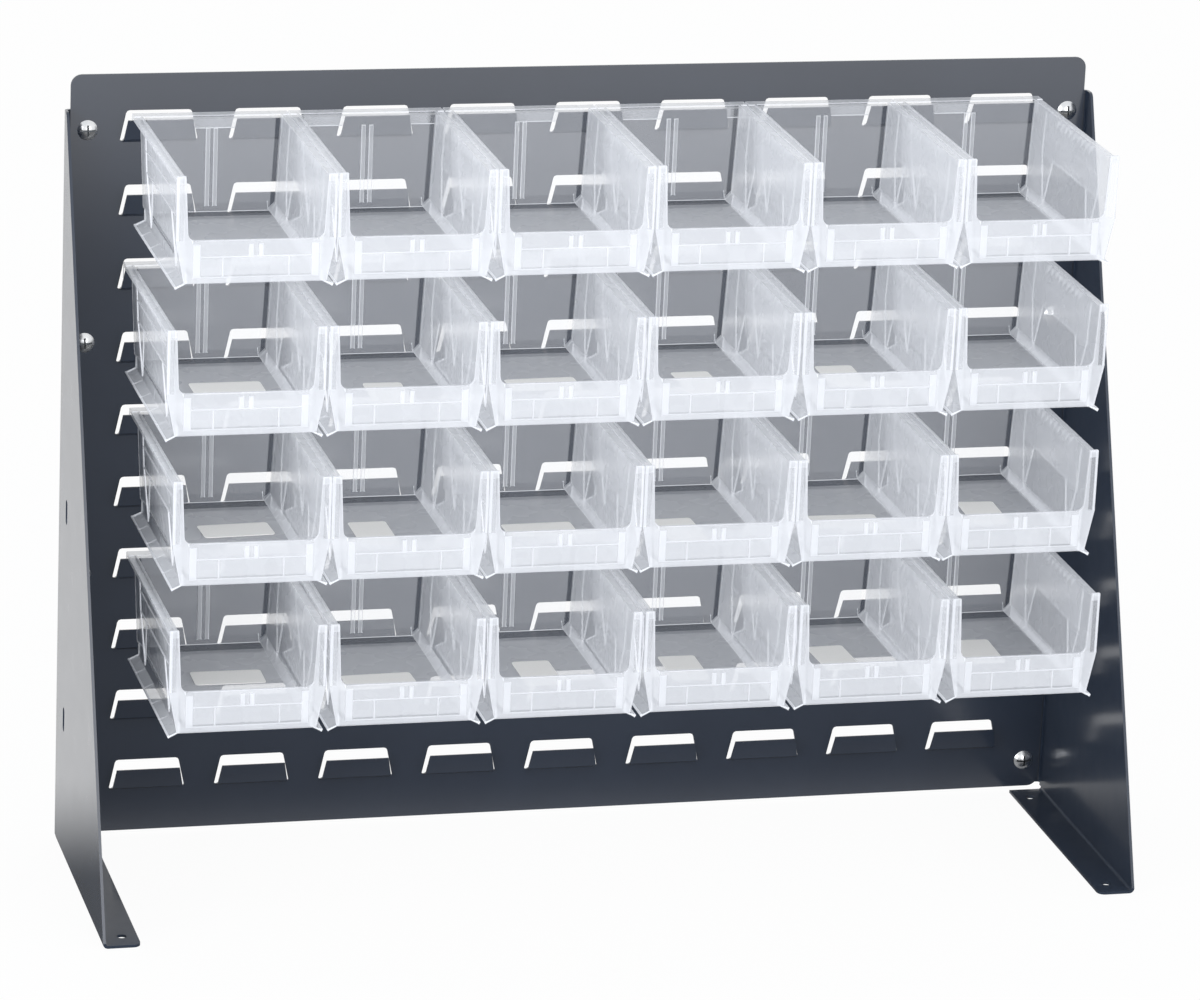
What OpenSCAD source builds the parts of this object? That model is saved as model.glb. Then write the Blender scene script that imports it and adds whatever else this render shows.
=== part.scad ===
// Bench bin rack: a louvred steel panel between two end brackets, hung with clear stacking bins.
// Millimetres. X runs along the panel, Y runs to the back, Z is up, and the bench is at Z = 0.

/* [Panel] */
// Width of the louvred panel
panel_w = 703.4; // [690:0.2:800]
// Height of the louvred panel
panel_h = 533.4; // [520:0.2:600]
// Thickness of the panel sheet
panel_t = 1.2; // [0.9:0.1:2]
// Gap between the panel's lower edge and the bench
panel_lift = 3.4; // [2:0.2:12]
// Radius of the panel's corners
panel_corner_r = 7.5; // [2:0.5:15]

/* [Louvres] */
// Louvres along a row
louvre_cols = 9; // [5:1:9]
// Rows of louvres
louvre_rows = 10; // [8:1:10]
// Distance from the panel's side edge to the middle of the outermost louvres
louvre_side_margin = 59.3; // [50:0.1:70]
// Drop from the panel's top edge to the first row of holes
first_row_drop = 24.8; // [20:0.2:34]
// Distance from the panel's lower edge to the lowest row of bends
louvre_foot_margin = 30.8; // [24:0.2:44]
// Width of a louvre hole at its top edge
hole_top_w = 44.4; // [40:0.2:48]
// Width of a louvre hole at its foot
hole_foot_w = 52; // [49:0.2:58]
// Height of a louvre hole
hole_h = 20.6; // [18:0.2:24]
// Radius of a louvre hole's upper corners
hole_corner_r = 2.4; // [1:0.2:4]
// Slit between a louvre tongue and the side of its hole
tongue_slit = 1.4; // [0.8:0.1:2.5]
// Height of a louvre tongue above the foot of its hole
tongue_h = 15.2; // [13:0.1:16.5]
// Reach of a louvre tongue's top edge in front of the panel
tongue_reach = 6.6; // [6:0.1:9]
// Reach of a louvre tongue's lower bend in front of the panel
tongue_bend_reach = 4.6; // [3.5:0.1:5.5]
// Height of a louvre tongue's lower bend above the foot of its hole
tongue_bend_rise = 2.4; // [1.6:0.1:4]
// Size of the cut corners at the foot of a louvre hole
hole_foot_cut = 0.7; // [0.3:0.1:0.8]

/* [End brackets] */
// Thickness of the bracket sheet
bracket_t = 1.9; // [1.2:0.1:3]
// Drop from the panel's top edge to the top of an end bracket
bracket_top_drop = 23.8; // [10:0.2:60]
// Reach of a bracket's toe in front of the panel
bracket_reach = 203.2; // [185:0.2:260]
// Depth of a bracket's top edge in front of the panel
bracket_top_reach = 7.5; // [5:0.5:30]
// Gap between the panel's edge and the bracket
panel_side_gap = 1.9; // [0.5:0.1:4]
// Width of the foot flange
foot_w = 25.4; // [22:0.2:40]
// Width of the rear flange behind the panel
rear_flange_w = 28; // [24:0.5:40]
// Inside radius of the bends
bend_r = 1.6; // [0.8:0.2:3]
// Radius of the bracket's outline corners
bracket_corner_r = 5; // [2:0.5:7]
// Radius of a foot hole
foot_hole_r = 3.2; // [2:0.1:4.5]
// Distance of the foot holes from the bracket's outer face
foot_hole_inset = 15; // [11:0.5:18]
// Reach of the front foot hole in front of the panel
foot_hole_front = 187.5; // [150:0.5:190]
// Reach of the rear foot hole in front of the panel
foot_hole_rear = 20; // [12:0.5:60]
// Half width of a side slot
side_slot_r = 3.2; // [2:0.1:4.5]
// End to end length of a side slot
side_slot_l = 17; // [12:0.5:24]
// Reach of the side slots in front of the panel
side_slot_reach = 31; // [20:0.5:60]
// Height of the lower side slot
side_slot_low = 97.5; // [60:0.5:130]
// Distance between the side slots
side_slot_pitch = 146.9; // [100:0.1:200]

/* [Fasteners] */
// Height of the lowest panel screws
screw_low = 23; // [14:0.5:40]
// Drop from the bracket's top to the highest panel screws
screw_top_drop = 14; // [10:0.5:40]
// Places of the screws, as shares of the way from the lowest to the highest
screw_share = [0, 0.351, 0.693, 1]; // [0:0.001:1]
// Distance of the screws from the panel's edge
screw_inset = 11.5; // [9:0.5:16]
// Radius of a screw shank
screw_r = 3; // [2:0.1:4]
// Radius of a screw head
head_r = 6.8; // [5:0.1:9]
// Height of a screw head
head_h = 3.2; // [2:0.1:4.5]
// Width of the slots in a screw head
head_slot_w = 1.3; // [0.8:0.1:1.8]
// Depth of the slots in a screw head
head_slot_d = 1.8; // [0.8:0.1:2.4]
// Length of the shorter slot in a screw head
head_cross_l = 7.5; // [4:0.1:10]
// Width of a nut across its flats
nut_af = 10; // [9:0.5:14]
// Thickness of a nut
nut_t = 5; // [3:0.5:7]
// Length of thread past a nut
screw_tail = 2; // [0.5:0.5:5]
// Clearance round a screw in the sheet
screw_clear = 0.35; // [0.2:0.05:0.8]
// Clearance between a screw and its nut
thread_clear = 0.05; // [0.02:0.01:0.1]

/* [Bins] */
// Least gap between neighbouring bins
bin_gap = 0.5; // [0.3:0.1:1.5]
// Share of a row's free room that each gap between its bins takes up, from the top row down
row_gap_share = [0.005, 0.015, 0.001, 0.023]; // [0:0.001:0.1]
// Share of a row's free room by which its bins stand to the right, from the top row down
row_shift_share = [0.051, 0.025, 0.063, 0.114]; // [-0.2:0.001:0.2]
// Width of a bin over its rims
bin_w = 104.2; // [96:0.2:106]
// Length of a bin from the panel to its front
bin_l = 172.5; // [140:0.5:190]
// Height of a bin from its rim to its skirts
bin_h = 74.5; // [66:0.5:76]
// Thickness of the bin's walls
bin_wall = 1.8; // [1.4:0.1:2.4]
// Width of a side rim
rim_w = 6; // [5:0.1:8]
// Thickness of a rim
rim_t = 3; // [1.6:0.1:4]
// Step down from the rim's inner bead to its outer ledge
rim_step = 0.8; // [0.4:0.1:1.2]
// Inward lean of a side wall from the rim to the floor
wall_draft = 3; // [1:0.1:5]
// Drop from the rim to the floor's underside
floor_drop = 66.5; // [60:0.5:69]
// Thickness of the floor
floor_t = 2; // [1.5:0.1:3]
// Size of the coves between the floor and the walls
cove = 4.5; // [2:0.1:7]
// Drop from the rim to the sill of the front opening
sill_drop = 41; // [34:0.5:46]
// Drop from the rim to the foot of the front
front_drop = 69.5; // [65:0.5:70]
// Width of the front at its foot
front_foot_w = 93; // [88:0.5:98]
// Thickness of the front
front_t = 2.2; // [1.6:0.1:3]
// Rise of the front posts above the rim
post_rise = 1.5; // [0.5:0.1:3]
// Radius of the front opening's lower corners
sill_r = 5; // [2:0.5:9]
// Width of the label place on the front
label_w = 72; // [50:0.5:76]
// Width of the rails beside the label place
label_rail_w = 5; // [3:0.1:5.5]
// Width of the pair of bars in the middle of the label place
label_tab_w = 9.6; // [6:0.1:14]
// Height of the ribs and rails that stand on the walls
relief = 0.8; // [0.4:0.1:1.2]
// Width of a rib line
rib_w = 1.2; // [0.8:0.1:2]
// Height of the divider ribs inside the bin
divider_h = 1.6; // [1:0.1:2.5]
// Width of a divider rib
divider_w = 2.8; // [1:0.1:4]
// Gap between the two divider ribs of a pair
divider_gap = 2.4; // [2:0.1:5]
// Set-back of the skirts from the bin's front
skirt_back = 5; // [3:0.5:12]
// Thickness of the skirts
skirt_t = 1.8; // [1.4:0.1:2.6]
// Share of the bin's inside length from each end to the foot of a forked side rib
side_rib_share = 0.21; // [0.15:0.01:0.35]
// Half the spread of a forked side rib at the side band
rib_spread = 12; // [4:0.5:16]
// Share of the bin's depth from the rim to the top of the side band
band_top_share = 0.28; // [0.15:0.01:0.35]
// Share of the bin's depth from the rim to the foot of the side band
band_foot_share = 0.5; // [0.4:0.01:0.65]
// Webs under each side rim
web_count = 9; // [3:1:12]
// Distance between the webs under a rim
web_pitch = 8.5; // [6:0.1:10]
// Ribs across each skirt
skirt_rib_count = 4; // [2:1:6]
// Depth of the hook lip below the rim
hook_drop = 11; // [8:0.5:12]
// Thickness of the hook lip
hook_t = 1.5; // [1:0.1:1.6]

/* [Fits] */
// Gap between the hook lip and the panel
hook_gap = 0.4; // [0.3:0.05:0.6]
// Gap between the rim and the louvre tongue that carries it
seat_gap = 0.3; // [0.2:0.05:0.6]
// Gap between a bin's back and the louvre tongues
back_gap = 0.4; // [0.3:0.05:1]

/* [Hidden] */
$fn = 48;
// Overlap by which joined shapes sink into each other
eps = 0.4;
// Counts of the bins, which set the list of nodes
bin_rows = 4;
bin_cols = 6;
// Louvre rows from one row of bins to the next
rows_per_bin = 2;

function bin_name(row, col) = str("bin_r", row + 1, "_c", col + 1);

// Places along Y, measured from the panel's front face
rear_face = panel_t + bracket_t;
screw_end = rear_face + nut_t + screw_tail;
// Shift that centres the whole rack on the origin
face_y = (bracket_reach - screw_end) / 2;

plate_x = panel_w / 2 + panel_side_gap + bracket_t;
bracket_h = panel_lift + panel_h - bracket_top_drop;
screw_x = panel_w / 2 - screw_inset;
screw_span = bracket_h - screw_top_drop - screw_low;
screw_z = [for (share = screw_share) screw_low + share * screw_span];
hole_r = screw_r + screw_clear;
bend_out = bend_r + bracket_t;
// Corner relief between the foot flange and the rear flange
foot_back = rear_face - 2 * bend_out;
flange_low = bend_out + bracket_t;

louvre_pitch_x = (panel_w - 2 * louvre_side_margin) / (louvre_cols - 1);
louvre_pitch_z = (panel_h - first_row_drop - hole_h - louvre_foot_margin) / (louvre_rows - 1);
first_hole_z = panel_lift + panel_h - first_row_drop;
// Lean of a louvre hole's sides
hole_lean = atan2((hole_foot_w - hole_top_w) / 2, hole_h);
tongue_tilt = atan2(tongue_reach - tongue_bend_reach, tongue_h - tongue_bend_rise);
// Highest and most forward points of a tongue, measured from the foot of its hole
tongue_top = tongue_h + panel_t / 2 * sin(tongue_tilt);
tongue_front = tongue_reach + panel_t / 2 * cos(tongue_tilt);

// Room left over between the brackets in a row of bins
row_room = 2 * (plate_x - bracket_t) - bin_cols * (bin_w + bin_gap);
bin_pitch = [for (share = row_gap_share) bin_w + bin_gap + share * row_room];
half_w = bin_w / 2;
inner_top = half_w - rim_w;
outer_top = inner_top + bin_wall;
draft_angle = atan(wall_draft / floor_drop);
back_y = -(tongue_front + back_gap);
inner_back_y = back_y - bin_wall;
// The front's own face, behind the relief that stands on it
front_y = -(bin_l - relief);
inner_front_y = front_y + front_t;
floor_top = -(floor_drop - floor_t);
rim_foot = rim_step + rim_t;
inner_length = inner_back_y - inner_front_y;

// Half width of the bin's inside at a drop below the rim
function inner_at(drop) = inner_top - wall_draft * drop / floor_drop;

// Points along an arc from angle a to angle b
function arc(centre, r, a, b, steps) =
    [for (i = [0 : steps]) centre + r * [cos(a + (b - a) * i / steps), sin(a + (b - a) * i / steps)]];

function tongue_bend_z(row) = first_hole_z - row * louvre_pitch_z - hole_h;
function rim_z(row) = tongue_bend_z(row * rows_per_bin) + tongue_top + seat_gap + rim_t;
function bin_x(row, col) = row_shift_share[row] * row_room + (col - (bin_cols - 1) / 2) * bin_pitch[row];

function unit(v) = v / norm(v);
function normal_to(v) = [-v[1], v[0]];

// Outline of a sheet of thickness t that is bent once, along the middle line from a over b to c
function bent_sheet(a, b, c, t) =
    let (
        first = normal_to(unit(b - a)) * t / 2,
        last = normal_to(unit(c - b)) * t / 2,
        mitre = (first + last) / (1 + first * last * 4 / (t * t))
    )
    [a + first, b + mitre, c + last, c - last, b - mitre, a - first];

// Draws a 2D shape in X and Z, thickened towards -Y from a start plane
module along_y(start, length) {
    translate([0, start, 0])
        rotate([90, 0, 0])
            linear_extrude(length)
                children();
}

// Draws a 2D shape in Y and Z, thickened towards +X from a start plane
module along_x(start, length) {
    translate([start, 0, 0])
        rotate([90, 0, 90])
            linear_extrude(length)
                children();
}

module both_sides() {
    children();
    mirror([1, 0, 0])
        children();
}

// Louvred panel

module panel_outline() {
    r = panel_corner_r;
    x = panel_w / 2 - r;
    low = panel_lift + r;
    high = panel_lift + panel_h - r;
    polygon(concat(
        arc([x, high], r, 0, 90, 6),
        arc([-x, high], r, 90, 180, 6),
        arc([-x, low], r, 180, 270, 6),
        arc([x, low], r, 270, 360, 6)
    ));
}

// Louvre hole, drawn down from the middle of its top edge
module louvre_hole() {
    r = hole_corner_r;
    x = hole_top_w / 2 - r;
    foot = hole_foot_w / 2;
    polygon(concat(
        arc([x, -r], r, hole_lean, 90, 2),
        arc([-x, -r], r, 90, 180 - hole_lean, 2),
        [[-foot, -hole_h + hole_foot_cut], [-foot + hole_foot_cut, -hole_h]],
        [[foot - hole_foot_cut, -hole_h], [foot, -hole_h + hole_foot_cut]]
    ));
}

// Tongue pressed out of a louvre hole: out from the hole's foot, over a bend, and up
module louvre_tongue() {
    root = panel_t / 2;
    foot = hole_foot_w / 2 - tongue_slit;
    top = foot - tongue_top * tan(hole_lean);
    intersection() {
        along_x(-foot, 2 * foot)
            polygon(bent_sheet(
                [0, -root], [-tongue_bend_reach - root, tongue_bend_rise],
                [-tongue_reach - root, tongue_h], panel_t
            ));
        along_y(panel_t, tongue_front + 2 * panel_t)
            polygon([
                [-foot, -2 * panel_t], [foot, -2 * panel_t], [foot, 0],
                [top, tongue_top], [-top, tongue_top], [-foot, 0]
            ]);
    }
}

module louvre_grid() {
    for (row = [0 : louvre_rows - 1])
        for (col = [0 : louvre_cols - 1])
            translate([(col - (louvre_cols - 1) / 2) * louvre_pitch_x, first_hole_z - row * louvre_pitch_z])
                children();
}

module screw_places() {
    for (side = [-1, 1])
        for (z = screw_z)
            translate([side * screw_x, z])
                children();
}

module louvered_panel() {
    color([0.27, 0.29, 0.33]) {
        along_y(panel_t, panel_t)
            difference() {
                panel_outline();
                louvre_grid()
                    louvre_hole();
                screw_places()
                    circle(hole_r);
            }
        for (row = [0 : louvre_rows - 1])
            for (col = [0 : louvre_cols - 1])
                translate([(col - (louvre_cols - 1) / 2) * louvre_pitch_x, panel_t / 2, tongue_bend_z(row)])
                    louvre_tongue();
    }
}

// End brackets

// Side plate outline in Y and Z, with its straight edges short of the two bends
module side_plate_outline() {
    r = bracket_corner_r;
    back = rear_face - bend_out;
    slope = atan2(bracket_h - bend_out, bracket_reach - bracket_top_reach);
    polygon(concat(
        [[back, bend_out], [back, bracket_h]],
        arc([-bracket_top_reach + r * tan(slope / 2), bracket_h - r], r, 90, 90 + slope, 5),
        [[-bracket_reach, bend_out]]
    ));
}

// Foot flange outline in X and Y, with its inner front corner rounded
module foot_outline() {
    r = bracket_corner_r;
    inner = plate_x - foot_w;
    outer = plate_x - bend_out;
    polygon(concat(
        [[inner, foot_back], [outer, foot_back], [outer, -bracket_reach]],
        arc([inner + r, -bracket_reach + r], r, 270, 180, 5)
    ));
}

// Quarter ring that joins two plates at a bend, in the first quadrant
module bend_ring() {
    intersection() {
        difference() {
            circle(bend_out);
            circle(bend_r);
        }
        square(bend_out);
    }
}

module side_slot() {
    half = side_slot_l / 2 - side_slot_r;
    square([2 * side_slot_r, 2 * half], center = true);
    for (end = [-half, half])
        translate([0, end])
            circle(side_slot_r);
}

// Right-hand bracket: side plate, foot flange and rear flange of one bent sheet
module end_bracket() {
    flange_start = plate_x - rear_flange_w;
    color([0.3, 0.32, 0.36]) {
        along_x(plate_x - bracket_t, bracket_t)
            difference() {
                side_plate_outline();
                for (z = [side_slot_low, side_slot_low + side_slot_pitch])
                    translate([-side_slot_reach, z])
                        side_slot();
            }
        // Foot flange and its bend
        linear_extrude(bracket_t)
            difference() {
                foot_outline();
                for (reach = [foot_hole_front, foot_hole_rear])
                    translate([plate_x - foot_hole_inset, -reach])
                        circle(foot_hole_r);
            }
        translate([plate_x - bend_out, 0, bend_out])
            along_y(foot_back, foot_back + bracket_reach)
                mirror([0, 1])
                    bend_ring();
        // Rear flange and its bend
        along_y(rear_face, bracket_t)
            difference() {
                translate([flange_start, flange_low])
                    square([rear_flange_w - bend_out, bracket_h - flange_low]);
                for (z = screw_z)
                    translate([screw_x, z])
                        circle(hole_r);
            }
        translate([plate_x - bend_out, rear_face - bend_out, flange_low])
            linear_extrude(bracket_h - flange_low)
                bend_ring();
    }
}

module right_end_bracket() {
    end_bracket();
}

module left_end_bracket() {
    mirror([1, 0, 0])
        end_bracket();
}

// Screws and nuts

// Truss head screw along -Y, with its head's flat on the panel's face
module panel_screw() {
    dome_r = (head_r * head_r + head_h * head_h) / (2 * head_h);
    dome_half = asin(head_r / dome_r);
    rotate([90, 0, 0])
        difference() {
            union() {
                rotate_extrude()
                    polygon(concat(
                        [[0, 0]],
                        arc([0, head_h - dome_r], dome_r, 90 - dome_half, 90, 5)
                    ));
                translate([0, 0, -screw_end])
                    cylinder(h = screw_end + eps, r = screw_r);
            }
            translate([-head_r, -head_slot_w / 2, head_h - head_slot_d])
                cube([2 * head_r, head_slot_w, head_h]);
            translate([-head_slot_w / 2, -head_cross_l / 2, head_h - head_slot_d])
                cube([head_slot_w, head_cross_l, head_h]);
        }
}

module panel_screws() {
    color([0.8, 0.81, 0.82])
        for (side = [-1, 1])
            for (z = screw_z)
                translate([side * screw_x, 0, z])
                    panel_screw();
}

module panel_nuts() {
    color([0.72, 0.73, 0.74])
        along_y(rear_face + nut_t, nut_t)
            screw_places()
                difference() {
                    circle(nut_af / 2 / cos(30), $fn = 6);
                    circle(screw_r + thread_clear);
                }
}

// Hang-and-stack bin, with its rim at Z = 0 and the panel's face at Y = 0

module bin_section() {
    foot = outer_top - wall_draft;
    polygon([
        [-outer_top, 0], [outer_top, 0],
        [foot, -floor_drop + cove], [foot - cove, -floor_drop],
        [-foot + cove, -floor_drop], [-foot, -floor_drop + cove]
    ]);
}

module bin_inside() {
    foot = inner_at(-floor_top - cove);
    polygon([
        [-inner_top, rim_t], [-inner_top, 0], [-foot, floor_top + cove], [-foot + cove, floor_top],
        [foot - cove, floor_top], [foot, floor_top + cove], [inner_top, 0], [inner_top, rim_t]
    ]);
}

// Open trough with its back wall
module bin_shell() {
    difference() {
        along_y(back_y, back_y - inner_front_y + eps)
            bin_section();
        along_y(inner_back_y, inner_length + 2 * eps)
            bin_inside();
    }
    // Cove between the floor and the back
    along_x(-inner_at(floor_drop) + cove, 2 * (inner_at(floor_drop) - cove))
        polygon([
            [inner_back_y + eps, floor_top - eps], [inner_back_y - cove, floor_top - eps],
            [inner_back_y - cove, floor_top], [inner_back_y, floor_top + cove],
            [inner_back_y + eps, floor_top + cove]
        ]);
}

// Front frame: posts that stand out beside the opening and a low wall under its sill
module bin_front() {
    sill = inner_at(sill_drop);
    along_y(inner_front_y, front_t)
        difference() {
            polygon([
                [-half_w, post_rise], [half_w, post_rise], [half_w, -sill_drop],
                [front_foot_w / 2, -front_drop], [-front_foot_w / 2, -front_drop], [-half_w, -sill_drop]
            ]);
            polygon(concat(
                [[inner_top, post_rise + eps], [-inner_top, post_rise + eps]],
                arc([-sill + sill_r, -sill_drop + sill_r], sill_r, 180, 270, 4),
                arc([sill - sill_r, -sill_drop + sill_r], sill_r, 270, 360, 4)
            ));
        }
}

// Raised lines of the label place, on the front's face
module label_relief() {
    top = -sill_drop - 2 * rib_w;
    foot = -front_drop + 3 * rib_w;
    middle = (3 * top + 2 * foot) / 5;
    along_y(front_y + eps, relief + eps) {
        both_sides() {
            translate([label_w / 2, foot])
                square([label_rail_w, top - foot]);
            translate([0.29 * label_w, foot])
                square([rib_w, middle - foot]);
            translate([label_tab_w / 6, middle])
                square([label_tab_w / 3, top - middle]);
        }
        translate([-label_w / 2 - eps, middle])
            square([label_w + 2 * eps, rib_w]);
        translate([-label_w / 2 - eps, foot])
            square([label_w + 2 * eps, rib_w]);
    }
}

// Pairs of ribs that hold a divider, on the inside of the front and back walls
module divider_ribs() {
    both_sides() {
        along_y(inner_back_y + eps, divider_h + eps)
            translate([divider_gap / 2, floor_top - eps])
                square([divider_w, -floor_top - hook_drop + rim_t]);
        along_y(inner_front_y + divider_h, divider_h + eps)
            translate([divider_gap / 2, floor_top - eps])
                square([divider_w, -floor_top - sill_drop - rib_w]);
    }
}

// Side rim with an inner bead and a stepped ledge, and the webs under it
module side_rim() {
    web_y = (inner_back_y + inner_front_y) / 2;
    along_y(back_y, back_y - inner_front_y + eps)
        polygon([
            [inner_top, 0], [inner_top + bin_wall, 0], [inner_top + bin_wall, -rim_step],
            [half_w, -rim_step], [half_w, -rim_foot], [inner_top + bin_wall / 2, -rim_foot]
        ]);
    for (i = [0 : web_count - 1])
        along_y(web_y + rib_w / 2 + (i - (web_count - 1) / 2) * web_pitch, rib_w)
            polygon([
                [outer_top - eps, -rim_foot + eps], [half_w - rib_w, -rim_foot + eps],
                [half_w - rib_w, -rim_foot - rib_w], [outer_top - eps, -2 * rim_foot - rib_w]
            ]);
}

// Ribs on the outside of a side wall: a bare band, and a forked rib under each of its ends
module side_ribs() {
    back_rib = inner_back_y - side_rib_share * inner_length;
    front_rib = inner_front_y + side_rib_share * inner_length;
    band_top = -band_top_share * floor_drop;
    band_foot = -band_foot_share * floor_drop;
    rib_foot = -front_drop + 2 * rib_w;
    translate([outer_top, 0, 0])
        rotate([0, draft_angle, 0])
            along_x(-eps, relief + eps) {
                for (y = [back_rib + rib_spread, front_rib - rib_spread])
                    translate([y - rib_w / 2, band_foot])
                        square([rib_w, -band_foot - rim_t]);
                for (z = [band_top, band_foot])
                    translate([front_rib - rib_spread, z])
                        square([back_rib - front_rib + 2 * rib_spread, rib_w]);
                for (y = [back_rib, front_rib])
                    for (side = [-1, 1])
                        polygon([
                            [y + side * rib_spread, band_foot + rib_w / 2],
                            [y + side * (rib_spread - rib_w), band_foot + rib_w / 2],
                            [y - side * rib_w / 2, rib_foot], [y + side * rib_w / 2, rib_foot]
                        ]);
            }
}

// Rail that carries a side wall on below the floor, and the skirt that flares from its foot to sit on the
// rim of a bin below, with its ribs
module side_skirt() {
    rail_x = outer_top - wall_draft;
    rail_top = -floor_drop + cove + skirt_t;
    start = back_y - skirt_back;
    length = start - (front_y + skirt_back);
    rib_pitch = length / (skirt_rib_count + 1);
    along_y(start, length)
        polygon([
            [rail_x - bin_wall / 2, rail_top], [rail_x, rail_top], [rail_x, -front_drop],
            [half_w, -bin_h + skirt_t], [half_w - skirt_t / 2, -bin_h],
            [rail_x - bin_wall, -front_drop - skirt_t / 2]
        ]);
    for (i = [1 : skirt_rib_count])
        along_y(start - i * rib_pitch + rib_w / 2, rib_w)
            polygon([
                [rail_x - bin_wall / 2, -front_drop + relief], [half_w, -bin_h + skirt_t + relief],
                [half_w, -bin_h + skirt_t], [rail_x - bin_wall / 2, -front_drop - skirt_t / 2]
            ]);
}

// Rear ledge that rests on the louvre tongues, and the lip that hooks behind them
module rear_hook() {
    lip_front = -(hook_gap + hook_t);
    along_x(-half_w, bin_w)
        polygon([
            [inner_back_y, 0], [-hook_gap, 0], [-hook_gap, -hook_drop],
            [lip_front, -hook_drop], [lip_front, -rim_t], [inner_back_y, -rim_t]
        ]);
}

module hang_bin() {
    color([0.9, 0.92, 0.96, 0.5]) {
        bin_shell();
        bin_front();
        label_relief();
        divider_ribs();
        rear_hook();
        both_sides() {
            side_rim();
            side_ribs();
            side_skirt();
        }
    }
}

// Assembly

translate([0, face_y, 0]) {
    louvered_panel();
    left_end_bracket();
    right_end_bracket();
    panel_screws();
    panel_nuts();
    for (row = [0 : bin_rows - 1])
        for (col = [0 : bin_cols - 1])
            translate([bin_x(row, col), 0, rim_z(row)])
                    hang_bin();
}
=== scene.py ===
"""Looks of the bench bin rack: painted steel, zinc screws and clear moulded bins."""
import math

import bmesh
import bpy
from mathutils import Matrix, Vector


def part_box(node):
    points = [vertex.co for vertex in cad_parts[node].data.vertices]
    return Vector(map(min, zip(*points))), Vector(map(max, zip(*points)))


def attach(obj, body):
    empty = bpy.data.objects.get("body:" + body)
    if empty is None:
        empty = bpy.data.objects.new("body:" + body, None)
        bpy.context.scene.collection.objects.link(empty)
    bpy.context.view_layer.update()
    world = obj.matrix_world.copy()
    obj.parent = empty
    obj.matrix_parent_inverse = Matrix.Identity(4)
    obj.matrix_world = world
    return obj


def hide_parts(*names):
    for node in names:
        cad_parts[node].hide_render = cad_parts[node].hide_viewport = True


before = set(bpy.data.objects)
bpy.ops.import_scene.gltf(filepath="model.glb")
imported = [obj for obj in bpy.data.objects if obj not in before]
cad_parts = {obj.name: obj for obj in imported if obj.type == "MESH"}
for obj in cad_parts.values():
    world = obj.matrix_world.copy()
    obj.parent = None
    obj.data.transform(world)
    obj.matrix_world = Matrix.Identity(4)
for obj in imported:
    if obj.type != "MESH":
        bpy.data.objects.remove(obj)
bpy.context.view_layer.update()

# Camera: place in metres, angles in degrees, lens and sensor in millimetres
CAMERA_PLACE = Vector((-0.95727, -3.61112, 1.45084))
CAMERA_AZIMUTH = 14.77
CAMERA_ELEVATION = 17.67
CAMERA_ROLL = 2.50
CAMERA_LENS = 175.25
SENSOR_WIDTH = 36.0

# Sizes from here on are in metres
MM = 0.001
WELD_DISTANCE = 0.005 * MM
CUT_DISTANCE = 0.0001 * MM

# Screws: the sheet that they hold, and the depth of the slots in their heads
PANEL_THICKNESS = 1.2 * MM
SLOT_DEPTH = 1.8 * MM
SCREW_SMOOTH_ANGLE = math.radians(30)

# Shares of a face's normal along Y: above the first it is a slot's wall, and below the second it faces front
SLOT_WALL_TURN = -0.1
SLOT_FLOOR_TURN = -0.999

# Bins: rows, columns and edges
BIN_ROWS = 4
BIN_COLS = 6
FLAT_ANGLE = math.radians(0.5)
SHARP_ANGLE = math.radians(25)
BIN_EDGE_BEVEL = 0.35 * MM
BIN_SHORT_EDGE = 5 * BIN_EDGE_BEVEL
BIN_THIN_FACE = 2.6 * MM
BIN_RIB_WIDTH = 3.2 * MM

# Depths behind the bin's front, and lengths ahead of its back
BIN_RELIEF_DEPTH = 0.4 * MM
BIN_FACE_DEPTH = 1.2 * MM
BIN_FRONT_DEPTH = 3.4 * MM
BIN_LEDGE_LENGTH = 10.0 * MM
BIN_DIM_LENGTH = 26.0 * MM

# Drops below the bin's top, and heights above its foot
BIN_RIM_DEPTH = 5.6 * MM
POST_CAP = 5.0 * MM
SILL_DROP = 42.3 * MM
BIN_SKIRT_HEIGHT = 6.0 * MM
BIN_RAIL_HEIGHT = 9.5 * MM
LABEL_FOOT_HEIGHT = 8.6 * MM
SIDE_BAND_LOW = 38.0 * MM

# Distances from the bin's middle, and widths at the outer edge of its skirts
LABEL_HALF_WIDTH = 41.0 * MM
POST_STRIP = (47.3 * MM, 50.2 * MM)
BACK_CORNER = 43.4 * MM
WALL_DRAFT = 3.0 / 66.5
SIDE_WALL = 43.5 * MM
BIN_SKIRT_EDGE = 2.0 * MM
BIN_SKIRT_LINE = 1.3 * MM

# Lengths up to which an upright face outside a wall is a fork of a rib, or a short field
SIDE_FORK_LENGTH = 30.0 * MM
SIDE_BAND_LENGTH = 60.0 * MM

# Shares of a face's normal along one axis, which tell walls, floors, skirts and coves apart
SQUARE_TURN = 0.9
STEEP_TURN = 0.7
LEVEL_TURN = 0.99
SKIRT_TURN = 0.2
COVE_TURN = (0.5, 0.85)
COVE_SIDE_TURN = 0.3

# By the part of the bin: how much one face of the hazy plastic hides, and how pale it is
PLASTIC_TINT = (0.925, 0.945, 1.0)
PLASTIC_PARTS = {
    "back": (0.15, 0.90),
    # Back-wall corners: nearly see-through with a darker tint, a painted shade in the corners.
    "corner": (0.04, 0.70),
    "rib": (0.34, 0.92),
    # Coves and the rear strip of the floor: more see-through, which shows what lies behind, with a darker
    # tint that is painted shade.
    "dim_painted_shade": (0.12, 0.80),
    "ledge": (0.62, 0.66),
    "floor": (0.38, 0.93),
    "side": (0.51, 0.97),
    "window": (0.28, 0.95),
    "fork": (0.48, 0.95),
    "band": (0.58, 0.96),
    "label": (0.48, 0.82),
    "post": (0.60, 0.88),
    "strip": (0.25, 0.88),
    "rim": (0.58, 0.90),
    "skirt": (0.42, 0.95),
    "edge": (0.9, 1.0),
    "side_line": (0.58, 0.94),
    "line": (0.8, 0.91),
}

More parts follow.
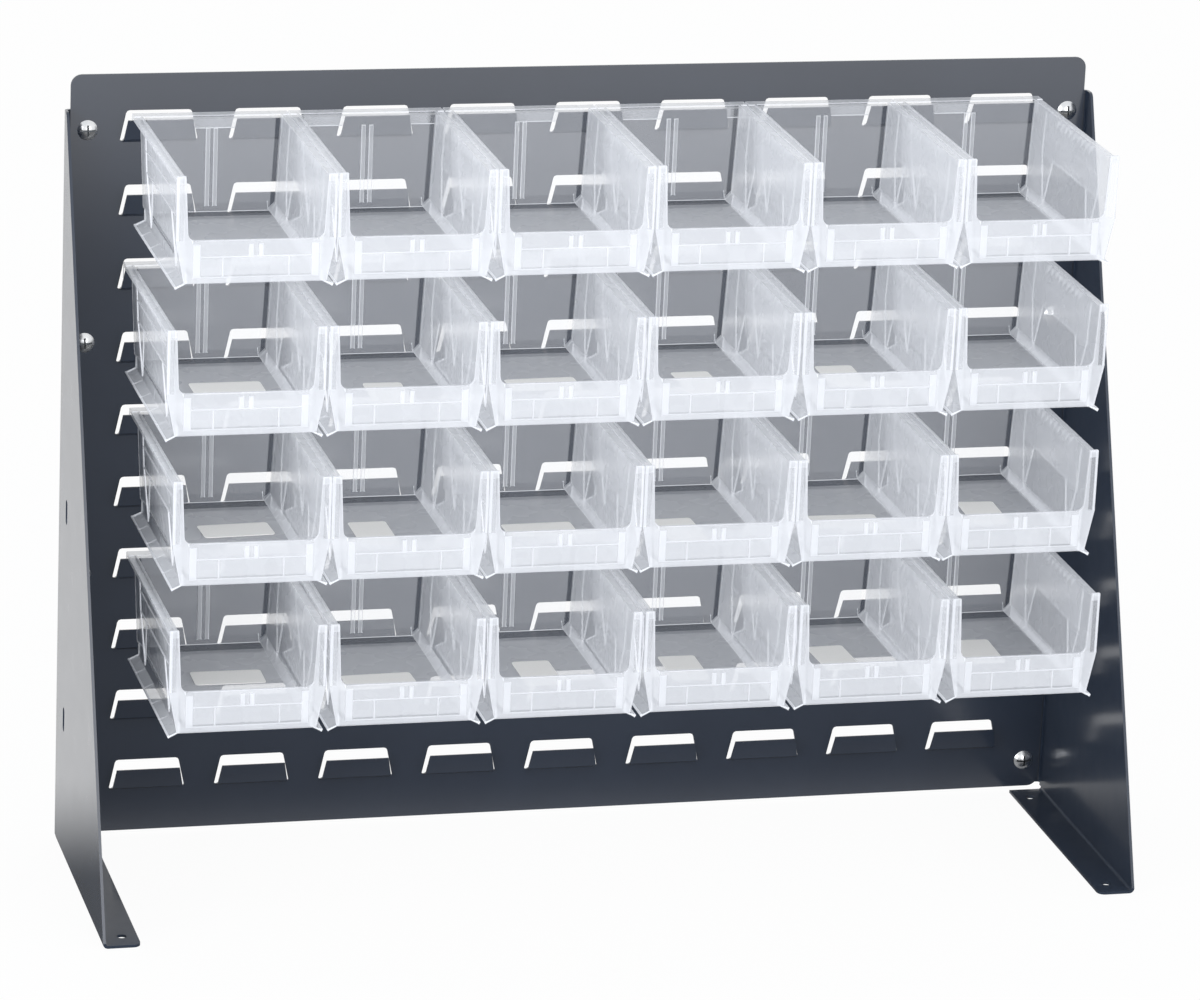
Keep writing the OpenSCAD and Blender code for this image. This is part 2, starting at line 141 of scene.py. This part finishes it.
# Blank paper cards that lie in the bins, the bin's floor above its foot, and its hook ahead of the panel
CARD_SIZE = Vector((48 * MM, 26 * MM, 0.3 * MM))
CARD_CORNER = 2.5 * MM
CARD_CORNER_STEPS = 6
CARD_CLEARANCE = 0.15 * MM
BIN_FLOOR_HEIGHT = 10.0 * MM
BIN_HOOK_GAP = 0.4 * MM

# By bin: the card's middle to the right of the bin's and ahead of the panel in mm, and its turn in degrees
CARD_PLACES = {
    "bin_r2_c1": (4, 85, 0), "bin_r2_c2": (1, 108, 88), "bin_r2_c3": (3, 98, 2),
    "bin_r2_c4": (2, 105, 91), "bin_r2_c5": (-3, 101, 89),
    "bin_r3_c1": (8, 76, 3), "bin_r3_c2": (-7, 93, 90), "bin_r3_c3": (1, 98, 1),
    "bin_r3_c4": (-9, 110, 91), "bin_r3_c5": (2, 105, -2), "bin_r3_c6": (-2, 98, 87),
    "bin_r4_c1": (4, 82, -1), "bin_r4_c2": (-3, 101, 2), "bin_r4_c3": (0, 100, 90),
    "bin_r4_c4": (-5, 102, 89), "bin_r4_c5": (-3, 95, 92), "bin_r4_c6": (-6, 95, 88),
}

# Floor: its size, the share of it that glows, and how far out the painted shadow in its reflection goes from
# shaded to pale
FLOOR_HALF = 12.0
FLOOR_COLOUR = (0.9, 0.9, 0.9)
STAGE_GLOW = 0.95
SHADE_MIDDLE = (0.0, -0.80, 0.0)
SHADE_STRETCH = (0.15, 1.0, 1.0)
SHADE_LEVEL = 0.1
SHADE_REACH = 0.81
PALE_REACH = 1.03

# Light: the sky's strength and colour, and each lamp's place, target, size, power in watts and colour
SKY_FILL = 0.86
SKY_COLOUR = (0.95, 0.975, 1.0)
WHITE = (1.0, 1.0, 1.0)
LAMPS = {
    "key": ((0.6, -3.2, 1.1), (0.0, 0.0, 0.25), 1.4, 28.0, (1.0, 0.995, 0.99)),
    "side": ((-2.6, -1.3, 1.0), (0.0, 0.0, 0.3), 1.6, 27.0, (0.97, 0.985, 1.0)),
}

# Noise factors over which numbers and colours are spread
NUMBER_SPREAD = (0.25, 0.75)
COLOUR_SPREAD = (0.3, 0.7)


def add_object(name, data):
    """A new object in the scene."""
    thing = bpy.data.objects.new(name, data)
    bpy.context.scene.collection.objects.link(thing)
    return thing


# Materials

def shader(name):
    """A new material, with its node tree and its Principled shader."""
    material = bpy.data.materials.new(name)
    material.use_nodes = True
    tree = material.node_tree
    return material, tree, tree.nodes["Principled BSDF"]


def noise(tree, scale, detail=3.0, roughness=0.55, stretch=(1.0, 1.0, 1.0)):
    """A noise texture in object coordinates, in cycles a metre."""
    place = tree.nodes.new("ShaderNodeTexCoord")
    mapping = tree.nodes.new("ShaderNodeMapping")
    mapping.inputs["Scale"].default_value = stretch
    texture = tree.nodes.new("ShaderNodeTexNoise")
    texture.inputs["Scale"].default_value = scale
    texture.inputs["Detail"].default_value = detail
    texture.inputs["Roughness"].default_value = roughness
    tree.links.new(place.outputs["Object"], mapping.inputs["Vector"])
    tree.links.new(mapping.outputs["Vector"], texture.inputs["Vector"])
    return texture.outputs["Fac"]


def spread_colour(tree, bsdf, factor, low, high):
    """Spreads a noise factor over the shader's colours from low to high."""
    ramp = tree.nodes.new("ShaderNodeValToRGB")
    for stop, position, colour in zip(ramp.color_ramp.elements, COLOUR_SPREAD, (low, high)):
        stop.position = position
        stop.color = (*colour, 1.0)
    tree.links.new(factor, ramp.inputs["Fac"])
    tree.links.new(ramp.outputs["Color"], bsdf.inputs["Base Color"])


def spread_roughness(tree, bsdf, factor, low, high):
    """Spreads a noise factor over the shader's roughness from low to high."""
    spread = tree.nodes.new("ShaderNodeMapRange")
    spread.inputs["From Min"].default_value, spread.inputs["From Max"].default_value = NUMBER_SPREAD
    spread.inputs["To Min"].default_value = low
    spread.inputs["To Max"].default_value = high
    tree.links.new(factor, spread.inputs["Value"])
    tree.links.new(spread.outputs["Result"], bsdf.inputs["Roughness"])


def add_bump(tree, bsdf, height, strength, distance):
    """Relief from a height, on the shader's normal."""
    relief = tree.nodes.new("ShaderNodeBump")
    relief.inputs["Strength"].default_value = strength
    relief.inputs["Distance"].default_value = distance
    tree.links.new(height, relief.inputs["Height"])
    tree.links.new(relief.outputs["Normal"], bsdf.inputs["Normal"])


def paint(name, low, high, gloss):
    """Semi-gloss baked enamel with a fine orange peel."""
    material, tree, bsdf = shader(name)
    bsdf.inputs["IOR"].default_value = 1.5
    bsdf.inputs["Specular IOR Level"].default_value = 0.15
    bsdf.inputs["Coat Weight"].default_value = 1.0
    bsdf.inputs["Coat Roughness"].default_value = 0.16
    bsdf.inputs["Coat IOR"].default_value = gloss
    spread_colour(tree, bsdf, noise(tree, scale=14.0, detail=4.0), low, high)
    spread_roughness(tree, bsdf, noise(tree, scale=45.0), low=0.36, high=0.46)
    add_bump(tree, bsdf, noise(tree, scale=900.0, detail=2.0), strength=0.12, distance=0.1 * MM)
    return material


def zinc(name, low, high):
    """Zinc plate with a faint passivated tint."""
    material, tree, bsdf = shader(name)
    bsdf.inputs["Metallic"].default_value = 1.0
    spread_colour(tree, bsdf, noise(tree, scale=180.0), low, high)
    spread_roughness(tree, bsdf, noise(tree, scale=400.0), low=0.24, high=0.32)
    add_bump(tree, bsdf, noise(tree, scale=1500.0, detail=2.0), strength=0.05, distance=0.05 * MM)
    return material


def clear_plastic(name, haze, pale):
    """Hazy clear polypropylene, with faint flow marks from the mould."""
    material, tree, bsdf = shader(name)
    bsdf.inputs["IOR"].default_value = 1.49
    bsdf.inputs["Alpha"].default_value = haze
    flow = noise(tree, scale=38.0, detail=2.0)
    low, high = ([share * pale * part for part in PLASTIC_TINT] for share in (0.97, 1.0))
    spread_colour(tree, bsdf, flow, low, high)
    spread_roughness(tree, bsdf, flow, low=0.24, high=0.3)
    add_bump(tree, bsdf, flow, strength=0.05, distance=0.4 * MM)
    return material


def paper(name, low, high):
    """Uncoated card stock with a faint fibre grain."""
    material, tree, bsdf = shader(name)
    bsdf.inputs["Specular IOR Level"].default_value = 0.25
    grain = noise(tree, scale=700.0, detail=4.0, roughness=0.7, stretch=(1.0, 3.0, 1.0))
    spread_colour(tree, bsdf, grain, low, high)
    spread_roughness(tree, bsdf, grain, low=0.75, high=0.95)
    add_bump(tree, bsdf, grain, strength=0.3, distance=0.05 * MM)
    return material


def dress(node, material):
    """Gives a CAD node one material in all its slots."""
    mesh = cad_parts[node].data
    mesh.materials.clear()
    mesh.materials.append(material)


panel_paint = paint("panel_paint", (0.019, 0.028, 0.048), (0.023, 0.033, 0.055), gloss=2.0)
bracket_paint = paint("bracket_paint", (0.024, 0.034, 0.055), (0.029, 0.040, 0.063), gloss=1.42)
zinc_plate = zinc("zinc_plate", (0.72, 0.74, 0.77), (0.84, 0.85, 0.86))
# The screw slots get a dark copy of the zinc: painted shade in the recesses of the heads.
slot_painted_shade = zinc("slot_painted_shade", (0.10, 0.11, 0.12), (0.14, 0.15, 0.16))
card_paper = paper("card_paper", (0.86, 0.855, 0.84), (0.95, 0.945, 0.935))
plastics = {part: clear_plastic(f"plastic_{part}", *look) for part, look in PLASTIC_PARTS.items()}

dress("louvered_panel", panel_paint)
dress("left_end_bracket", bracket_paint)
dress("right_end_bracket", bracket_paint)
dress("panel_nuts", zinc_plate)


# Meshes

def welded(node):
    """A working copy of a CAD node's mesh, with its corners joined."""
    work = bmesh.new()
    work.from_mesh(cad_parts[node].data)
    bmesh.ops.remove_doubles(work, verts=work.verts, dist=WELD_DISTANCE)
    return work


def finished(work, name, materials):
    """A mesh from a working copy, with its materials."""
    mesh = bpy.data.meshes.new(name)
    work.to_mesh(mesh)
    work.free()
    for material in materials:
        mesh.materials.append(material)
    return mesh


# Screws

def screw_mesh(node):
    """The screws' mesh from their CAD node, with smooth heads and the heads' slots set apart for a dark
    painted shade.
    """
    head_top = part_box(node)[0].y
    panel_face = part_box("louvered_panel")[1].y - PANEL_THICKNESS
    work = welded(node)
    for face in work.faces:
        middle = face.calc_center_median()
        on_head = middle.y < panel_face
        on_slot_floor = face.normal.y < SLOT_FLOOR_TURN and middle.y > head_top + SLOT_DEPTH / 2
        in_slot = face.normal.y > SLOT_WALL_TURN or on_slot_floor
        # Slot faces take the second, dark material: painted shade in the slots.
        face.material_index = 1 if on_head and in_slot else 0
        face.smooth = True
    for edge in work.edges:
        edge.smooth = edge.is_manifold and edge.calc_face_angle() < SCREW_SMOOTH_ANGLE
    return finished(work, "zinc_screws", [zinc_plate, slot_painted_shade])


screws = add_object("zinc_screws", screw_mesh("panel_screws"))
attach(screws, "rack_frame")
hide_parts("panel_screws")


# Bins

def face_width(face):
    """Least width of a face in its own plane."""
    widths = []
    for edge in face.edges:
        along = (edge.verts[1].co - edge.verts[0].co).normalized()
        across = face.normal.cross(along)
        reach = [across.dot(vert.co) for vert in face.verts]
        widths.append(max(reach) - min(reach))
    return min(widths)


def off_middle(place, low, high):
    """Distance of a place from the bin's middle, to either side."""
    return abs(place.x - (low.x + high.x) / 2)


def on_skirt_edge(place, low, high):
    """Whether a place is at the outer edge of the bin's width, where the skirts end."""
    return off_middle(place, low, high) >= (high.x - low.x) / 2 - BIN_SKIRT_EDGE


def on_skirt(place, low, high):
    """Whether a place is on a skirt, away from its outer edge."""
    return place.z < low.z + BIN_SKIRT_HEIGHT and not on_skirt_edge(place, low, high)


def on_side(place, low, high):
    """Whether a place is on the relief outside a side wall, between the rim and the skirt."""
    upright = low.z + BIN_SKIRT_HEIGHT < place.z < high.z - BIN_RIM_DEPTH
    along = low.y + BIN_FRONT_DEPTH < place.y < high.y - BIN_LEDGE_LENGTH
    return upright and along and off_middle(place, low, high) > SIDE_WALL


def line_part(place, low, high):
    """The kind of pale line that a narrow face or a bevel makes."""
    if on_side(place, low, high):
        return "side_line"
    at_foot = place.z < low.z + BIN_SKIRT_HEIGHT
    return "edge" if at_foot and on_skirt_edge(place, low, high) else "line"


def front_part(place, low, high):
    """The part of the bin's front frame that a place is on."""
    aside = off_middle(place, low, high)
    over_sill = high.z - SILL_DROP < place.z < high.z - POST_CAP
    if place.y - low.y >= BIN_FACE_DEPTH:
        return "strip" if over_sill else "label"
    if over_sill and POST_STRIP[0] < aside < POST_STRIP[1]:
        return "strip"
    on_border = aside > LABEL_HALF_WIDTH or place.z < low.z + LABEL_FOOT_HEIGHT
    return "post" if on_border else "label"


def wall_part(face, low, high):
    """The part of a side wall that an upright face is on."""
    middle = face.calc_center_median()
    if (middle.x - (low.x + high.x) / 2) * face.normal.x <= 0:
        return "side"
    along = [vert.co.y for vert in face.verts]
    length = max(along) - min(along)
    if length < SIDE_FORK_LENGTH:
        return "fork"
    if middle.z < low.z + BIN_RAIL_HEIGHT:
        return "band"
    if length < SIDE_BAND_LENGTH:
        return "side"
    return "band" if middle.z > low.z + SIDE_BAND_LOW else "window"


def part_of(face, low, high):
    """The part of the bin that a face of its mesh is on."""
    middle = face.calc_center_median()
    ahead = middle.y - low.y
    turn_x, turn_z = abs(face.normal.x), abs(face.normal.z)
    width = face_width(face)
    at_rear = middle.y > high.y - BIN_DIM_LENGTH
    if width < BIN_THIN_FACE or ahead < BIN_RELIEF_DEPTH:
        return "skirt" if on_skirt(middle, low, high) else line_part(middle, low, high)
    if middle.z > high.z - BIN_RIM_DEPTH:
        return "ledge" if middle.y > high.y - BIN_LEDGE_LENGTH else "rim"
    if ahead < BIN_FRONT_DEPTH:
        return front_part(middle, low, high)
    if turn_x > STEEP_TURN:
        return wall_part(face, low, high)
    if middle.z < low.z + BIN_SKIRT_HEIGHT and turn_z < LEVEL_TURN:
        return "skirt" if turn_x > SKIRT_TURN else "edge"
    # Coves and the rear strip of the floor take the darker, more see-through plastic: painted shade.
    if COVE_TURN[0] < turn_z < COVE_TURN[1]:
        return "side" if turn_x > COVE_SIDE_TURN else "dim_painted_shade"
    if turn_z > STEEP_TURN:
        return "dim_painted_shade" if at_rear else "floor"
    # The back wall's corners take the darker, nearly see-through plastic: painted shade.
    if at_rear and off_middle(middle, low, high) + WALL_DRAFT * (high.z - middle.z) > BACK_CORNER:
        return "corner"
    return "rib" if width < BIN_RIB_WIDTH else "back"


def cut(work, chosen, place, normal):
    """Cuts the chosen faces where they cross a plane."""
    faces = [face for face in work.faces if chosen(face)]
    edges = {edge for face in faces for edge in face.edges}
    verts = {vert for face in faces for vert in face.verts}
    geometry = [*verts, *edges, *faces]
    bmesh.ops.bisect_plane(work, geom=geometry, dist=CUT_DISTANCE, plane_co=place, plane_no=normal)


def cut_upright(work, chosen, aside, middle, top=0.0, draft=0.0):
    """Cuts the chosen faces to each side of the bin's middle, closer to it by a draft below the top."""
    for side in (-1.0, 1.0):
        cut(work, chosen, (middle + side * aside, 0.0, top), (side, 0.0, -draft))


def cut_level(work, chosen, height):
    """Cuts the chosen faces at one height."""
    cut(work, chosen, (0.0, 0.0, height), (0.0, 0.0, 1.0))


def cut_bin(work, low, high):
    """Cuts the bin's faces where its parts meet on them."""
    middle = (low.x + high.x) / 2
    half_width = (high.x - low.x) / 2
    sill = high.z - SILL_DROP
    rear = high.y - BIN_DIM_LENGTH

    def in_front(face):
        return face.normal.y < -SQUARE_TURN and face.calc_center_median().y < low.y + BIN_FACE_DEPTH

    def on_frame(face):
        return abs(face.normal.y) > SQUARE_TURN and face.calc_center_median().y < low.y + BIN_FRONT_DEPTH

    def on_post(face):
        return in_front(face) and face.calc_center_median().z > sill

    def at_back(face):
        return abs(face.normal.y) > SQUARE_TURN and face.calc_center_median().y > rear

    def on_slope(face):
        return abs(face.normal.x) > SKIRT_TURN and face.calc_center_median().z < low.z + BIN_SKIRT_HEIGHT

    def on_floor(face):
        return abs(face.normal.z) > LEVEL_TURN and face.calc_center_median().z < (low.z + high.z) / 2

    cut_level(work, on_frame, sill)
    cut_level(work, on_frame, high.z - POST_CAP)
    for aside in POST_STRIP:
        cut_upright(work, on_post, aside, middle)
    cut_upright(work, in_front, LABEL_HALF_WIDTH, middle)
    cut_level(work, in_front, low.z + LABEL_FOOT_HEIGHT)
    # Cuts for the painted shade at the corners of the back wall.
    cut_upright(work, at_back, BACK_CORNER, middle, high.z, WALL_DRAFT)
    cut_upright(work, on_slope, half_width - BIN_SKIRT_LINE, middle)
    # Cut across the floor for the painted shade at its rear.
    cut(work, on_floor, (0.0, rear, 0.0), (0.0, 1.0, 0.0))


def bevel_edges(work):
    """Narrow bevels on the long sharp edges that stand out; gives their faces."""
    joined = [edge for edge in work.edges if edge.is_manifold and edge.is_convex]
    sharp = [edge for edge in joined if edge.calc_face_angle() > SHARP_ANGLE]
    long = [edge for edge in sharp if edge.calc_length() > BIN_SHORT_EDGE]
    bevel = bmesh.ops.bevel(
        work, geom=long, offset=BIN_EDGE_BEVEL, segments=1, affect="EDGES", clamp_overlap=False
    )
    return bevel["faces"]


def bin_mesh(node):
    """A bin's mesh from its CAD node, with pale edges and its parts set apart."""
    low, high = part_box(node)
    parts = list(plastics)
    work = welded(node)
    bmesh.ops.dissolve_limit(work, angle_limit=FLAT_ANGLE, verts=work.verts, edges=work.edges)
    cut_bin(work, low, high)
    for face in work.faces:
        face.material_index = parts.index(part_of(face, low, high))
    bmesh.ops.triangulate(work, faces=work.faces)
    for face in bevel_edges(work):
        middle = face.calc_center_median()
        if not on_skirt(middle, low, high):
            face.material_index = parts.index(line_part(middle, low, high))
    return finished(work, "moulded_bin", plastics.values())


first_bin = "bin_r1_c1"
moulded_bin = bin_mesh(first_bin)
first_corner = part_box(first_bin)[0]
for row in range(1, BIN_ROWS + 1):
    for col in range(1, BIN_COLS + 1):
        node = f"bin_r{row}_c{col}"
        piece = add_object(f"clear_{node}", moulded_bin)
        piece.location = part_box(node)[0] - first_corner
        # Hazy plastic scatters light forward, so it hardly shades what lies around it or shows in the paint
        piece.visible_shadow = False
        piece.visible_diffuse = False
        piece.visible_glossy = False
        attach(piece, node)
        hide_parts(node)


# Label cards

def card_mesh():
    """A thin card with round corners, its underside at z = 0."""
    work = bmesh.new()
    inner = Vector((CARD_SIZE.x / 2 - CARD_CORNER, CARD_SIZE.y / 2 - CARD_CORNER))
    outline = []
    for quarter, (sx, sy) in enumerate(((1, 1), (-1, 1), (-1, -1), (1, -1))):
        for step in range(CARD_CORNER_STEPS + 1):
            angle = math.radians(90) * (quarter + step / CARD_CORNER_STEPS)
            x = sx * inner.x + CARD_CORNER * math.cos(angle)
            y = sy * inner.y + CARD_CORNER * math.sin(angle)
            outline.append(work.verts.new((x, y, 0.0)))
    sheet = work.faces.new(outline)
    raised = bmesh.ops.extrude_face_region(work, geom=[sheet])["geom"]
    top = [part for part in raised if isinstance(part, bmesh.types.BMVert)]
    bmesh.ops.translate(work, verts=top, vec=(0.0, 0.0, CARD_SIZE.z))
    bmesh.ops.recalc_face_normals(work, faces=work.faces)
    return finished(work, "label_card", [card_paper])


label_card = card_mesh()
for node, (across, out, turn) in CARD_PLACES.items():
    low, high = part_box(node)
    card = add_object(f"card_in_{node}", label_card)
    card.location = (
        (low.x + high.x) / 2 + across * MM,
        high.y + BIN_HOOK_GAP - out * MM,
        low.z + BIN_FLOOR_HEIGHT + CARD_CLEARANCE,
    )
    card.rotation_euler.z = math.radians(turn)
    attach(card, node)


# Floor, light and camera

def math_node(tree, operation, first, second):
    """Combines a link with another link or with a number."""
    node = tree.nodes.new("ShaderNodeMath")
    node.operation = operation
    tree.links.new(first, node.inputs[0])
    if isinstance(second, float):
        node.inputs[1].default_value = second
    else:
        tree.links.new(second, node.inputs[1])
    return node.outputs[0]


def vector_node(tree, operation, vector, other, result):
    """Combines a linked vector with a fixed one."""
    node = tree.nodes.new("ShaderNodeVectorMath")
    node.operation = operation
    node.inputs[1].default_value = other
    tree.links.new(vector, node.inputs[0])
    return node.outputs[result]


def mix_to_surface(tree, factor, plain, seen, output):
    """Blends from one shader to another by a factor, as the surface of the node tree's output."""
    mix = tree.nodes.new("ShaderNodeMixShader")
    tree.links.new(factor, mix.inputs["Fac"])
    tree.links.new(plain, mix.inputs[1])
    tree.links.new(seen, mix.inputs[2])
    tree.links.new(mix.outputs["Shader"], tree.nodes[output].inputs["Surface"])


def ray_kinds(tree):
    """Factors for what is seen straight or through something clear, and for that or a reflection."""
    rays = tree.nodes.new("ShaderNodeLightPath").outputs
    direct = math_node(tree, "MAXIMUM", rays["Is Camera Ray"], rays["Is Transmission Ray"])
    return direct, math_node(tree, "MAXIMUM", direct, rays["Is Glossy Ray"])


def floor_material(name):
    """A pale matt surface that shows nearly white, but reflects darker in the paint close to the rack, where
    its glow carries a painted shadow.
    """
    material, tree, bsdf = shader(name)
    bsdf.inputs["Base Color"].default_value = (*FLOOR_COLOUR, 1.0)
    bsdf.inputs["Roughness"].default_value = 0.9
    bsdf.inputs["Specular IOR Level"].default_value = 0.1
    place = tree.nodes.new("ShaderNodeNewGeometry").outputs["Position"]
    stretched = vector_node(tree, "MULTIPLY", place, SHADE_STRETCH, "Vector")
    reach = vector_node(tree, "DISTANCE", stretched, SHADE_MIDDLE, "Value")
    painted_shadow_fade = tree.nodes.new("ShaderNodeMapRange")
    painted_shadow_fade.interpolation_type = "SMOOTHSTEP"
    painted_shadow_fade.inputs["From Min"].default_value = SHADE_REACH
    painted_shadow_fade.inputs["From Max"].default_value = PALE_REACH
    painted_shadow_fade.inputs["To Min"].default_value = SHADE_LEVEL
    painted_shadow_fade.inputs["To Max"].default_value = 1.0
    tree.links.new(reach, painted_shadow_fade.inputs["Value"])
    direct, seen = ray_kinds(tree)
    glow = tree.nodes.new("ShaderNodeEmission")
    # In reflections the glow dims close to the rack: a painted shadow of the rack on the floor.
    level = math_node(tree, "MAXIMUM", direct, painted_shadow_fade.outputs["Result"])
    tree.links.new(level, glow.inputs["Strength"])
    share = math_node(tree, "MULTIPLY", seen, STAGE_GLOW)
    mix_to_surface(tree, share, bsdf.outputs["BSDF"], glow.outputs["Emission"], "Material Output")
    return material


def floor():
    """A wide square floor under the rack."""
    half = FLOOR_HALF
    mesh = bpy.data.meshes.new("floor")
    corners = [(-half, -half, 0), (half, -half, 0), (half, half, 0), (-half, half, 0)]
    mesh.from_pydata(corners, [], [(0, 1, 2, 3)])
    mesh.materials.append(floor_material("pale_floor"))
    plane = add_object("floor", mesh)


def area_light(name, place, target, size, power, colour):
    """A square soft lamp that points at its target."""
    data = bpy.data.lights.new(name, "AREA")
    data.shape = "SQUARE"
    data.size = size
    data.energy = power
    data.color = colour
    lamp = add_object(name, data)
    lamp.location = place
    lamp.rotation_euler = (Vector(target) - Vector(place)).to_track_quat("-Z", "Y").to_euler()


def studio_world():
    """Even sky light, with plain white for what is seen straight, through plastic or in a reflection."""
    world = bpy.data.worlds.new("studio")
    world.use_nodes = True
    tree = world.node_tree
    sky = tree.nodes["Background"]
    sky.inputs["Color"].default_value = (*SKY_COLOUR, 1.0)
    sky.inputs["Strength"].default_value = SKY_FILL
    white = tree.nodes.new("ShaderNodeBackground")
    white.inputs["Color"].default_value = (*WHITE, 1.0)
    seen = ray_kinds(tree)[1]
    mix_to_surface(tree, seen, sky.outputs["Background"], white.outputs["Background"], "World Output")
    bpy.context.scene.world = world


def photo_camera():
    """The camera, from its place, its two angles and its roll."""
    angles = (CAMERA_AZIMUTH, CAMERA_ELEVATION, CAMERA_ROLL)
    azimuth, elevation, roll = (math.radians(angle) for angle in angles)
    ahead = Vector((
        math.sin(azimuth) * math.cos(elevation),
        math.cos(azimuth) * math.cos(elevation),
        -math.sin(elevation),
    ))
    level = Vector((math.cos(azimuth), -math.sin(azimuth), 0.0))
    upright = level.cross(ahead)
    right = level * math.cos(roll) + upright * math.sin(roll)
    up = right.cross(ahead)
    data = bpy.data.cameras.new("photo_camera")
    data.sensor_fit = "HORIZONTAL"
    data.sensor_width = SENSOR_WIDTH
    data.lens = CAMERA_LENS
    camera = add_object("photo_camera", data)
    turn = Matrix((right, up, -ahead)).transposed().to_4x4()
    camera.matrix_world = Matrix.Translation(CAMERA_PLACE) @ turn
    bpy.context.scene.camera = camera


floor()
studio_world()
for name, lamp in LAMPS.items():
    area_light(name, *lamp)
photo_camera()
bpy.context.scene.view_settings.view_transform = "Standard"
cycles = bpy.context.scene.cycles
cycles.transparent_max_bounces = 48
cycles.max_bounces = 6
cycles.diffuse_bounces = 3
cycles.glossy_bounces = 3
